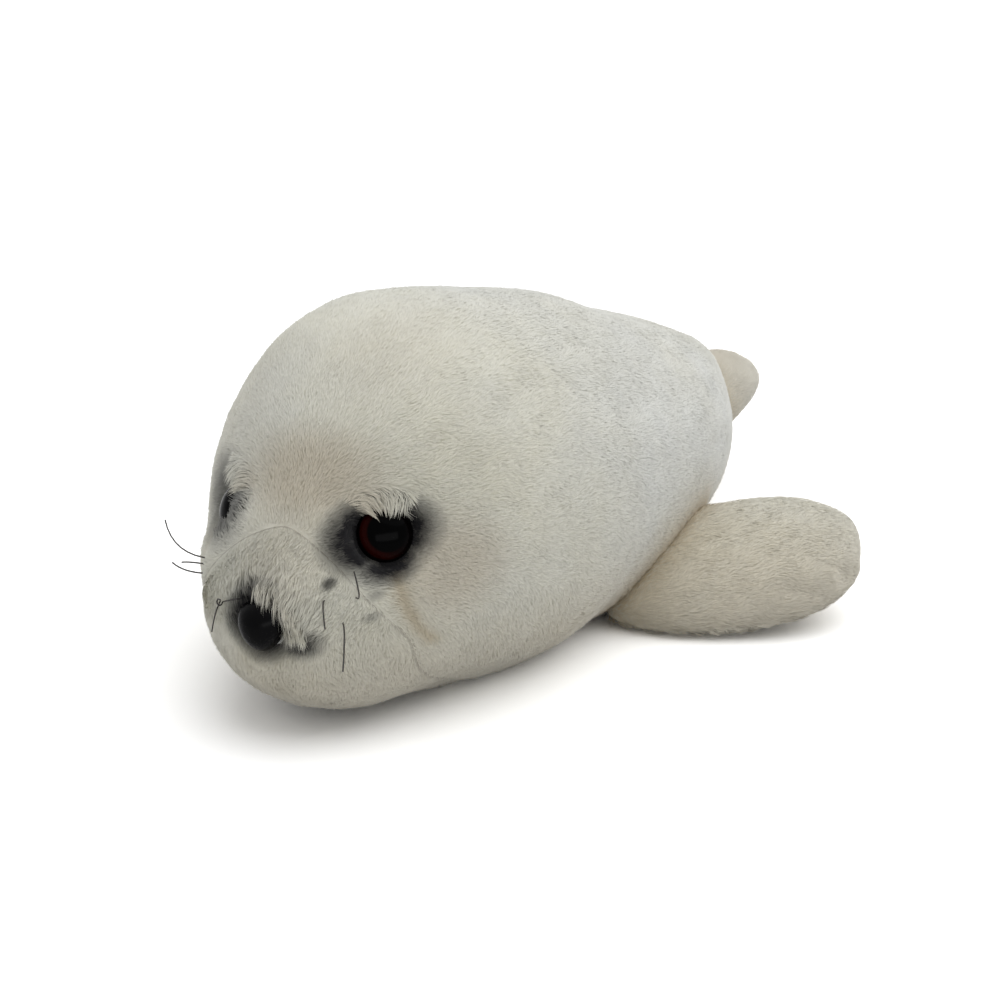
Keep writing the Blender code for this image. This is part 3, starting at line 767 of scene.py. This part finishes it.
class Nodes:
    """Small helper that builds the nodes of a material or a world and links them."""

    def __init__(self, owner, shader="Principled BSDF"):
        self.owner = owner
        owner.use_nodes = True
        self.tree = owner.node_tree
        self.shader = self.tree.nodes[shader]

    def add(self, kind, inputs=(), **settings):
        node = self.tree.nodes.new("ShaderNode" + kind)
        for key, value in settings.items():
            setattr(node, key, value)
        for key, value in dict(inputs).items():
            self.feed(node.inputs[key], value)
        return node

    def feed(self, socket, value):
        if isinstance(value, bpy.types.NodeSocket):
            self.tree.links.new(value, socket)
        else:
            socket.default_value = value

    def maths(self, operation, first, second=0.0, third=0.0, clamp=False):
        node = self.add("Math", {0: first, 1: second, 2: third}, operation=operation)
        node.use_clamp = clamp
        return node.outputs[0]

    def times(self, first, second):
        return self.maths("MULTIPLY", first, second)

    def scaled(self, value, factor, plus):
        return self.maths("MULTIPLY_ADD", value, factor, plus)

    def vector(self, operation, first, second):
        node = self.add("VectorMath", {0: first, 1: second}, operation=operation)
        return node.outputs["Value" if operation == "DOT_PRODUCT" else "Vector"]

    def length(self, vector):
        return self.add("VectorMath", {0: vector}, operation="LENGTH").outputs["Value"]

    def noise(self, place, scale, detail=3.0, roughness=0.5):
        node = self.add("TexNoise", {"Vector": place, "Scale": scale, "Detail": detail, "Roughness": roughness})
        return node.outputs["Fac"]

    def ramp(self, value, low, high, to_low=0.0, to_high=1.0):
        """Value mapped smoothly from low..high to to_low..to_high."""
        inputs = {"Value": value, "From Min": low, "From Max": high, "To Min": to_low, "To Max": to_high}
        return self.add("MapRange", inputs, interpolation_type="SMOOTHSTEP").outputs["Result"]

    def mix(self, share, first, second, blend="MIX"):
        node = self.add("Mix", data_type="RGBA", blend_type=blend)
        self.feed(node.inputs[0], share)
        self.feed(node.inputs[6], first)
        self.feed(node.inputs[7], second)
        return node.outputs[2]

    def named(self, name, vector=False):
        node = self.add("Attribute", attribute_name=name)
        return node.outputs["Vector" if vector else "Fac"]

    def spot(self, place, centre, radii, core, edge):
        """1 inside an oval spot round a centre, falling to 0 outside it."""
        offset = self.vector("SUBTRACT", place, tuple(centre))
        scaled = self.vector("DIVIDE", offset, tuple(radii))
        return self.ramp(self.length(scaled), core, edge, 1.0, 0.0)

    def thread(self):
        """1 along the fine line of the muzzle's seam, 0 elsewhere."""
        parts = self.add("SeparateXYZ", {0: self.add("TexCoord").outputs["Object"]})
        out = self.maths("DIVIDE", self.maths("ABSOLUTE", parts.outputs["X"]), MUZZLE_SEAM_HALF_WIDTH)
        height = self.maths("SUBTRACT", parts.outputs["Z"], MUZZLE_SEAM_Z)
        upper = self.maths("DIVIDE", self.maths("MAXIMUM", height, 0.0), MUZZLE_SEAM_HALF_HEIGHT)
        lower = self.maths("DIVIDE", self.maths("MINIMUM", height, 0.0), -MUZZLE_SEAM_LOW_HEIGHT)
        ring = self.maths("POWER", out, MUZZLE_SEAM_POWER)
        ring = self.maths("ADD", ring, self.maths("POWER", self.maths("ADD", upper, lower), MUZZLE_SEAM_POWER))
        ring = self.maths("SUBTRACT", self.maths("POWER", ring, 1.0 / MUZZLE_SEAM_POWER), 1.0)
        gap = self.times(self.maths("ABSOLUTE", ring), MUZZLE_SEAM_HALF_WIDTH)
        line = self.ramp(gap, *THREAD_WIDTH, THREAD_STRENGTH, 0.0)
        line = self.times(line, self.ramp(parts.outputs["Y"], FACE_REAR, FACE_REAR - 10 * MM))
        return self.times(line, self.ramp(parts.outputs["Z"], 4 * MM, 12 * MM))

    def seen(self):
        """1 for what the camera sees, also in a mirror or through glass, and 0 for all other light."""
        path = self.add("LightPath").outputs
        seen = self.maths("ADD", path["Is Glossy Ray"], path["Is Transmission Ray"])
        return self.maths("ADD", path["Is Camera Ray"], seen, clamp=True)

    def shine(self, **values):
        """Feeds the shader's own sockets, named in small letters."""
        for key, value in values.items():
            self.feed(self.shader.inputs[key.replace("_", " ").title().replace("Ior", "IOR")], value)


def rgba(colour):
    """The colour as a node socket takes it."""
    return (*colour, 1.0)


THREAD = (0.16, 0.12, 0.09)
THREAD_WIDTH, THREAD_STRENGTH = (0.05 * MM, 0.30 * MM), 0.38  # from its core to its edge

# Airbrushed patches: centre, radii, how strongly each is sprayed, and how soft its edge is.
SPRAY = (
    ((0.0270, -0.126, 0.0688), (0.0134, 0.030, 0.0102), 1.00, 0.38),
    ((0.0316, -0.130, 0.0618), (0.0072, 0.014, 0.0066), 1.00, 0.50),
    ((-0.0325, -0.122, 0.0695), (0.0118, 0.030, 0.0100), 0.66, 0.60),
    ((-0.0014, -0.152, 0.0432), (0.0112, 0.014, 0.0118), 1.00, 0.30),
    ((0.0095, -0.152, 0.0388), (0.0078, 0.012, 0.0046), 0.95, 0.60),
    ((0.0188, -0.146, 0.0563), (0.0013, 0.008, 0.0013), 0.80, 0.95),
    ((0.0306, -0.137, 0.0519), (0.0014, 0.008, 0.0012), 0.20, 0.95),
    ((0.0304, -0.140, 0.0453), (0.0014, 0.008, 0.0012), 0.18, 0.95),
)

# Painted shade that darkens and warms the pile in spots on the face, the front flippers and the tail: centre, radii
# and how strongly.
SHADE_SPOTS = (
    ((0.003, -0.130, 0.0840), (0.026, 0.030, 0.015), 0.85),
    ((0.046, -0.115, 0.0570), (0.018, 0.025, 0.018), 0.70),
    ((0.100, 0.018, 0.0180), (0.045, 0.050, 0.030), 0.34),
    ((-0.100, 0.018, 0.0180), (0.045, 0.050, 0.030), 0.34),
    ((0.004, -0.150, 0.0620), (0.020, 0.030, 0.012), 0.30),
    ((0.010, -0.090, 0.1180), (0.025, 0.030, 0.020), 0.15),
    ((0.000, 0.170, 0.0450), (0.050, 0.040, 0.040), 0.70),
)


def pile_material(settings, name, creamy):
    """White pile: cream in front, darkened by painted shade low on the sides and in spots, airbrushed on the face,
    darker towards the roots as painted shade.
    """
    made = Nodes(bpy.data.materials.new(name))
    place, tip, tone = made.named("root", vector=True), made.named("tip"), made.named("tone")
    drift = made.noise(place, 22.0, 4.0)
    parts = made.add("SeparateXYZ", {0: place})
    height, along = parts.outputs["Z"], parts.outputs["Y"]
    front = made.ramp(along, -0.01, -0.09)
    warm = made.scaled(drift, 1.1, -0.25)
    warm = made.scaled(front, 0.45, warm)
    warm = made.maths("ADD", warm, creamy, clamp=True)
    colour = made.mix(warm, rgba(settings.white), rgba(settings.cream))
    # Painted shade: towards the floor, below about 50 mm, the pile is darkened unevenly to the shade colour
    low = made.ramp(height, 0.050, 0.004)
    low = made.times(low, made.scaled(drift, 0.7, 0.25))
    colour = made.mix(low, colour, rgba(settings.shade))
    # Painted shade in spots, which also warms the pile
    for centre, radii, strength in SHADE_SPOTS:
        shaded = made.times(made.spot(place, centre, radii, 0.3, 1.3), strength)
        colour = made.mix(shaded, colour, rgba(settings.shade))
    grain = made.scaled(front, 0.020, 0.010)  # how much the blades differ in tone
    light = made.scaled(tone, grain, 1.0)
    # Painted shade: each blade is a little darker towards its root, where the pile shades itself
    light = made.times(light, made.scaled(tip, 0.06, 0.95))
    streak = made.noise(made.vector("MULTIPLY", place, (1.0, 0.30, 1.0)), 900.0, 2.0)
    out = made.maths("ABSOLUTE", parts.outputs["X"])
    flecks = made.ramp(out, 0.025, 0.060, 0.06, 0.30)
    centred = made.maths("SUBTRACT", streak, 0.5)
    light = made.times(light, made.scaled(centred, flecks, 1.0))
    cloud = made.noise(place, 34.0, 2.0)
    light = made.times(light, made.scaled(cloud, 0.14, 0.93))
    grey = made.add("CombineColor", {0: light, 1: light, 2: light}).outputs[0]
    colour = made.mix(1.0, colour, grey, "MULTIPLY")
    # Yellow-brown along the cheek seams, and painted shade, stained yellow-brown, in the creases at the flippers
    colour = made.mix(made.named("seam_stain_crease_shade"), colour, rgba(settings.stain_and_crease_shade))
    colour = made.mix(made.thread(), colour, rgba(THREAD))
    ragged = made.scaled(made.noise(place, 330.0, 2.0), 0.7, 0.75)
    ragged = made.scaled(tone, 0.06, ragged)
    sprayed = 0.0
    for centre, radii, strength, softness in SPRAY:
        spot = made.spot(place, centre, radii, 1.0 - softness, 1.0 + softness)
        spot = made.times(made.times(spot, ragged), strength)
        sprayed = made.maths("MAXIMUM", spot, sprayed)
    sprayed = made.maths("POWER", made.maths("MINIMUM", sprayed, 1.0), 0.6)
    colour = made.mix(sprayed, colour, rgba(settings.airbrush))
    made.shine(base_color=colour, roughness=0.85, sheen_weight=0.20, sheen_roughness=0.55, specular_ior_level=0.15)
    return made.owner


def plastic(name, colour, roughness, ior, grain=0.0):
    """Moulded plastic with a faint unevenness of its polish."""
    made = Nodes(bpy.data.materials.new(name))
    place = made.add("TexCoord").outputs["Object"]
    uneven = made.noise(place, 420.0, 3.0)
    darker = rgba([0.6 * part for part in colour])
    made.shine(
        base_color=made.mix(made.scaled(uneven, 0.5, 0.0), rgba(colour), darker),
        roughness=made.scaled(uneven, 0.10, roughness - 0.05), ior=ior)
    if grain:
        made.shine(normal=made.add("Bump", {"Height": uneven, "Strength": grain, "Distance": 0.0002}).outputs[0])
    return made.owner


IRIS_LIT_WAY = (-0.85, -0.3, -0.45)  # side of the left eye on which the iris is painted lit, as by light through the clear dome
PUPIL_EDGE, IRIS_END = 0.05, (0.88, 0.96)  # in radii of the eye


def eye_material(side, settings):
    """Clear plastic eye painted behind: black pupil, dark red-brown iris with painted light on one side, black rim.
    """
    made = Nodes(bpy.data.materials.new("eye_" + side + "_plastic"))
    apex, axis = EYES[side][:2]
    offset = made.vector("SUBTRACT", made.add("TexCoord").outputs["Object"], tuple(apex))
    depth = made.vector("DOT_PRODUCT", offset, tuple(axis))
    on_axis = made.add("VectorMath", {0: tuple(axis), "Scale": depth}, operation="SCALE").outputs["Vector"]
    share = made.maths("DIVIDE", made.length(made.vector("SUBTRACT", offset, on_axis)), EYE_RADIUS)
    fibres = made.noise(offset, 900.0, 3.0)
    iris = made.mix(fibres, rgba(settings.iris), rgba([0.45 * part for part in settings.iris]))
    # Painted light: the iris shows lit on the side where light through the clear dome would fall, and fades to the
    # pupil's black on the other side
    lit_way = unit(np.array(IRIS_LIT_WAY) * (SIDES[side], 1.0, 1.0))
    lit = made.vector("DOT_PRODUCT", offset, tuple(lit_way))
    lit = made.ramp(lit, -0.35 * EYE_RADIUS, 0.75 * EYE_RADIUS, 0.03, 1.0)
    iris = made.mix(lit, rgba(settings.pupil), iris)
    painted = made.ramp(share, settings.pupil_share - PUPIL_EDGE, settings.pupil_share + PUPIL_EDGE)
    colour = made.mix(painted, rgba(settings.pupil), iris)
    colour = made.mix(made.ramp(share, *IRIS_END), colour, rgba(settings.pupil))
    made.shine(base_color=colour, roughness=0.15, ior=1.07)
    return made.owner


def turned_piece(name, profile, steps, matrix, surface):
    """Solid turned about the matrix's z axis from (radius, height) points, top to bottom."""
    made = bmesh.new()
    rings = []
    for radius, height in profile:
        count = 1 if radius == 0.0 else steps
        turns = [2 * math.pi * step / steps for step in range(count)]
        rings.append([made.verts.new((radius * math.cos(t), radius * math.sin(t), height)) for t in turns])
    for upper, lower in zip(rings, rings[1:]):
        for step in range(steps):
            after = (step + 1) % steps
            face = [upper[step % len(upper)], lower[step % len(lower)], lower[after % len(lower)],
                    upper[after % len(upper)]]
            made.faces.new(list(dict.fromkeys(face)))
    bmesh.ops.transform(made, matrix=matrix, verts=made.verts)
    bmesh.ops.recalc_face_normals(made, faces=made.faces)
    return new_piece(name, mesh_of(name, made), surface)


def facing(place, axis):
    """Frame at a place whose z axis points along this direction."""
    turn = Vector((0.0, 0.0, 1.0)).rotation_difference(Vector(axis)).to_matrix().to_4x4()
    return Matrix.Translation(Vector(place)) @ turn


BODY_PRESSURE, BODY_CAP = 4.0, 1.5 * MM  # of the filling, and how far it may press the skin out at most
SEAM_HOLD = 4 * MM  # how wide the seams hold the skin


class SEAL_OT_body(bpy.types.Operator):
    """Stuffed body with its skin and pile"""

    bl_idname = "seal.body"
    bl_label = "Body"

    def execute(self, context):
        settings = context.scene.seal_pile
        surface = pile_material(settings, "plush_body", 0.0)
        mesh = body_skin()
        swell(mesh, settings.undercoat)
        skin = new_piece("body_skin", mesh, surface)
        points = points_of(mesh)
        ring, cheek = seam_distances(points)
        pinned = np.maximum(bell(ring, SEAM_HOLD), bell(cheek, SEAM_HOLD))
        pinned = np.maximum(pinned, points[:, 2] < 1 * MM)
        stuffed(skin, np.where(pinned > 0.1, pinned, 0.0), BODY_PRESSURE, BODY_CAP)
        applied(skin, "SUBSURF", levels=1, render_levels=1)
        shape_round_fittings(skin.data)
        skin_attributes(skin.data)
        pieces = coat_body(skin.data, settings, surface)
        settle(skin, "plush", "body")
        for piece in pieces:
            settle(piece, "plush")
        return {"FINISHED"}


FLIPPER_VOXEL, FLIPPER_ROUNDS = {"front": 2.6 * MM, "hind": 2.0 * MM}, 6
FLIPPER_WAY = {"front": (0.84, 0.54, 0.0), "hind": (0.20, 0.96, 0.1)}  # from root to tip, on the left side
FLIPPER_CREAM = 0.35  # how much warmer the flippers are than the body
FLIPPER_PRESSURE, FLIPPER_CAP = 3.0, 1.0 * MM
FLIPPER_DEPTH, FLIPPER_CREASE_FILL = 0.75, 2.6  # in undercoats: the skin's depth, and its swell at the body


def coat_flipper(skin, kind, side, count, settings, surface):
    """Pile of one flipper, brushed from its root to its tip."""

    def wanted(places):
        """Thin where the flipper lies on the floor."""
        return 0.15 + 0.85 * ease(places[:, 2], 0.8 * MM, 4 * MM)

    rng = np.random.default_rng(40 + 2 * (kind == "hind") + (side == "right"))
    roots, normals = scatter(skin.data, count, rng, wanted)
    way = np.array(FLIPPER_WAY[kind]) * (SIDES[side], 1.0, 1.0)
    ways = along_skin(np.tile(way, (len(roots), 1)), normals)
    turn = 0.30 * waves(roots, 14 * MM, 21) + 0.10 * waves(roots, 4.5 * MM, 22) + rng.normal(0.0, 0.12, len(roots))
    ways = turned_about(ways, normals, turn)
    fluffy = 1.0 - ease(roots[:, 2], 4 * MM, 12 * MM)
    lengths = settings.length * (0.85 + 0.08 * waves(roots, 8 * MM, 23) + rng.normal(0.0, 0.10, len(roots)))
    lengths += 2.2 * MM * fluffy * ease(waves(roots, 6 * MM, 26), -0.6, 1.0)
    lifts = 0.33 + 0.02 * waves(roots, 7 * MM, 24) + rng.normal(0.0, 0.04, len(roots)) + 0.25 * fluffy
    lifts = np.clip(lifts, 0.12, 1.2)
    widths = rng.uniform(*BLADE_WIDTHS, len(roots)) * MM
    lengths = np.clip(lengths, 1.2 * MM, 7 * MM)
    name = f"pile_flipper_{kind}_{side}"
    sprayed = roots + (SPRAYED_SHARE * lengths)[:, None] * ways
    # Painted shade, stained yellow-brown, in the crease where the flipper meets the body
    tint = crease_shade_and_stain(roots, "body")
    tones = rng.normal(0.0, 1.0, len(roots))
    return blades(name, rng, surface, roots, normals, ways, lengths, widths, lifts, sprayed, tones, tint)


def make_flipper(kind, side, count, settings):
    """One padded flipper: the frame's solid remeshed, stuffed, smoothed and coated."""
    node = f"flipper_{kind}_{side}"
    surface = bpy.data.materials.get("plush_flippers") or pile_material(settings, "plush_flippers", FLIPPER_CREAM)
    if kind == "hind":
        surface = bpy.data.materials.get("plush_body") or surface
    skin = evened(node + "_skin", node, FLIPPER_VOXEL[kind], surface)
    points = smoothed(skin.data, FLIPPER_ROUNDS)
    rise = lumpiness(points, FLIPPER_LUMPS[kind], SIDES[side])
    rise += (FLIPPER_CREASE_FILL * crease_shade_and_stain(points, "body") - FLIPPER_DEPTH) * settings.undercoat
    points += normals_of(skin.data) * rise[:, None]
    points[:, 2] = np.maximum(points[:, 2], SKIN_GAP)
    set_points(skin.data, points)
    stuffed(skin, (points[:, 2] < 2 * SKIN_GAP).astype(float), FLIPPER_PRESSURE, FLIPPER_CAP)
    applied(skin, "SUBSURF", levels=1, render_levels=1)
    skin_attributes(skin.data)
    pile = coat_flipper(skin, kind, side, count, settings, surface)
    settle(skin, "plush", node)
    settle(pile, "plush")


class SEAL_OT_flippers(bpy.types.Operator):
    """Two padded front flippers lying on the floor and two small lobes at the tail"""

    bl_idname = "seal.flippers"
    bl_label = "Flippers"

    def execute(self, context):
        settings = context.scene.seal_pile
        for kind, blade_count in (("front", settings.flipper_blades), ("hind", settings.lobe_blades)):
            for side in SIDES:
                make_flipper(kind, side, blade_count, settings)
        return {"FINISHED"}


DOME_RINGS, DOME_STEPS = 24, 72
DOME_EDGE, DOME_BACK, DOME_BACK_SHARE = 0.6 * MM, 1.1 * MM, 0.93  # below the rim, and the back's radius


class SEAL_OT_eyes(bpy.types.Operator):
    """Two polished toy eyes"""

    bl_idname = "seal.eyes"
    bl_label = "Eyes"

    def execute(self, context):
        for side in SIDES:
            apex, axis, along, away = EYES[side]
            rim = float(along[away > 0.999 * EYE_RADIUS].max())
            profile = [(0.0, 0.0)]
            for ring in range(1, DOME_RINGS + 1):
                turn = 0.5 * math.pi * ring / DOME_RINGS
                profile.append((EYE_RADIUS * math.sin(turn), rim * (1.0 - math.cos(turn))))
            back = rim - DOME_BACK
            profile += [(EYE_RADIUS, rim - DOME_EDGE), (DOME_BACK_SHARE * EYE_RADIUS, back), (0.0, back)]
            surface = eye_material(side, context.scene.seal_fittings)
            eye = turned_piece("eye_" + side + "_dome", profile, DOME_STEPS, facing(apex, axis), surface)
            settle(eye, "eye_plastic", "eye_" + side)
        return {"FINISHED"}


NOSE_VOXEL, NOSE_ROUNDS = 0.8 * MM, 8


class SEAL_OT_nose(bpy.types.Operator):
    """Moulded nose, a rounded triangle"""

    bl_idname = "seal.nose"
    bl_label = "Nose"

    def execute(self, context):
        settings = context.scene.seal_fittings
        surface = plastic("nose_plastic", settings.nose, 0.26, 1.11, grain=0.15)
        nose = evened("nose_moulding", "nose", NOSE_VOXEL, surface)
        smoothed(nose.data, NOSE_ROUNDS)
        applied(nose, "SUBSURF", levels=1, render_levels=1)
        settle(nose, "nose_plastic", "nose")
        return {"FINISHED"}


class SEAL_OT_whiskers(bpy.types.Operator):
    """Nylon whiskers and the washers behind the fittings keep their own solids with a finish"""

    bl_idname = "seal.whiskers"
    bl_label = "Whiskers and washers"

    def execute(self, context):
        nylon = plastic("whisker_nylon", context.scene.seal_fittings.nylon, 0.40, 1.40)
        white = plastic("washer_plastic", (0.75, 0.75, 0.72), 0.50, 1.45, grain=0.2)
        for name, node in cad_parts.items():
            if name.startswith("whisker") or "washer" in name:
                node.data.materials.clear()
                node.data.materials.append(nylon if name.startswith("whisker") else white)
                node.data.shade_smooth()
        return {"FINISHED"}


class SEAL_OT_studio(bpy.types.Operator):
    """Pale floor, soft light and the camera"""

    bl_idname = "seal.studio"
    bl_label = "Studio"

    def execute(self, context):
        settings = context.scene.seal_studio
        add_floor()
        add_world(context.scene, settings)
        add_lamp(settings)
        add_strip()
        add_camera(context.scene, settings)
        context.scene.view_settings.view_transform = "Standard"
        return {"FINISHED"}


FLOOR_HALF_SIZE = 30.0
FLOOR_TONE = 0.80
FLOOR_LIFT = 1.0  # how much paler the floor is to the camera than to the seal


def add_floor():
    """Wide pale floor that keeps the seal's shadow and is white to the camera."""
    made = bmesh.new()
    bmesh.ops.create_grid(made, x_segments=1, y_segments=1, size=FLOOR_HALF_SIZE)
    surface = Nodes(bpy.data.materials.new("floor_paint"))
    place = surface.add("TexCoord").outputs["Object"]
    tone = surface.scaled(surface.noise(place, 40.0), 0.01, FLOOR_TONE)
    tone = surface.times(tone, surface.scaled(surface.seen(), FLOOR_LIFT, 1.0))
    white = surface.add("CombineColor", {0: tone, 1: tone, 2: tone}).outputs[0]
    surface.shine(base_color=white, roughness=1.0, specular_ior_level=0.0)
    floor = new_piece("floor", mesh_of("floor", made), surface.owner)


def add_world(scene, settings):
    """Even light from all round; the camera, mirrors and glass see plain white."""
    made = Nodes(bpy.data.worlds.new("studio"), "Background")
    scene.world = made.owner
    strength = made.add("MapRange", {"Value": made.seen(), "To Min": settings.fill, "To Max": 1.0})
    made.shine(color=rgba((1.0, 1.0, 1.0)), strength=strength.outputs["Result"])


LAMP_FROM = Vector((0.26, 0.30, 1.0))
LAMP_ANGLE = math.radians(80.0)  # how wide the lamp looks from the floor


def add_lamp(settings):
    """Wide soft lamp overhead, even over the whole floor."""
    lamp = bpy.data.lights.new("lamp_above", "SUN")
    lamp.angle = LAMP_ANGLE
    lamp.energy = settings.lamp
    new_object("lamp_above", lamp, LAMP_FROM)


STRIP_PLACE = Vector((0.55, -0.62, 0.30))
STRIP_SIZE = (0.95, 0.26)
STRIP_POWER = 3.0


def add_strip():
    """Strip lamp beside the camera that only the polish of the eyes and the nose picks up."""
    lamp = bpy.data.lights.new("lamp_strip", "AREA")
    lamp.shape = "RECTANGLE"
    lamp.size, lamp.size_y = STRIP_SIZE
    lamp.energy = STRIP_POWER
    made = new_object("lamp_strip", lamp, STRIP_PLACE - Vector(NOSE_APEX), STRIP_PLACE)
    made.visible_diffuse = False


CAMERA_TARGET = Vector((0.0, 0.0054, 0.0342))
SENSOR_WIDTH = 36.0


def add_camera(scene, settings):
    """Camera at the photograph's angle."""
    camera = bpy.data.cameras.new("camera")
    camera.lens = settings.lens
    camera.sensor_width = SENSOR_WIDTH
    flat = math.cos(settings.elevation)
    back = Vector((
        math.sin(settings.azimuth) * flat, -math.cos(settings.azimuth) * flat, math.sin(settings.elevation)))
    scene.camera = new_object("camera", camera, back, CAMERA_TARGET + back * settings.distance)


class SEAL_PT_panel(bpy.types.Panel):
    """Plush seal's pieces and settings"""

    bl_idname = "SEAL_PT_panel"
    bl_label = "Plush Seal"
    bl_space_type = "VIEW_3D"
    bl_region_type = "UI"
    bl_category = "Plush Seal"

    def draw(self, context):
        for group in (context.scene.seal_pile, context.scene.seal_fittings, context.scene.seal_studio):
            box = self.layout.box()
            for key in group.__annotations__:
                box.prop(group, key)
        for operator in OPERATORS:
            self.layout.operator(operator.bl_idname)


OPERATORS = (SEAL_OT_studio, SEAL_OT_body, SEAL_OT_flippers, SEAL_OT_eyes, SEAL_OT_nose, SEAL_OT_whiskers)
CLASSES = (PileSettings, FittingSettings, StudioSettings, *OPERATORS, SEAL_PT_panel)


def register():
    for made in CLASSES:
        bpy.utils.register_class(made)
    bpy.types.Scene.seal_pile = PointerProperty(type=PileSettings)
    bpy.types.Scene.seal_fittings = PointerProperty(type=FittingSettings)
    bpy.types.Scene.seal_studio = PointerProperty(type=StudioSettings)


def unregister():
    del bpy.types.Scene.seal_studio
    del bpy.types.Scene.seal_fittings
    del bpy.types.Scene.seal_pile
    for made in reversed(CLASSES):
        bpy.utils.unregister_class(made)


def main():
    register()
    bpy.ops.seal.studio()
    bpy.ops.seal.body()
    bpy.ops.seal.flippers()
    bpy.ops.seal.eyes()
    bpy.ops.seal.nose()
    bpy.ops.seal.whiskers()


if __name__ == "__main__":
    main()
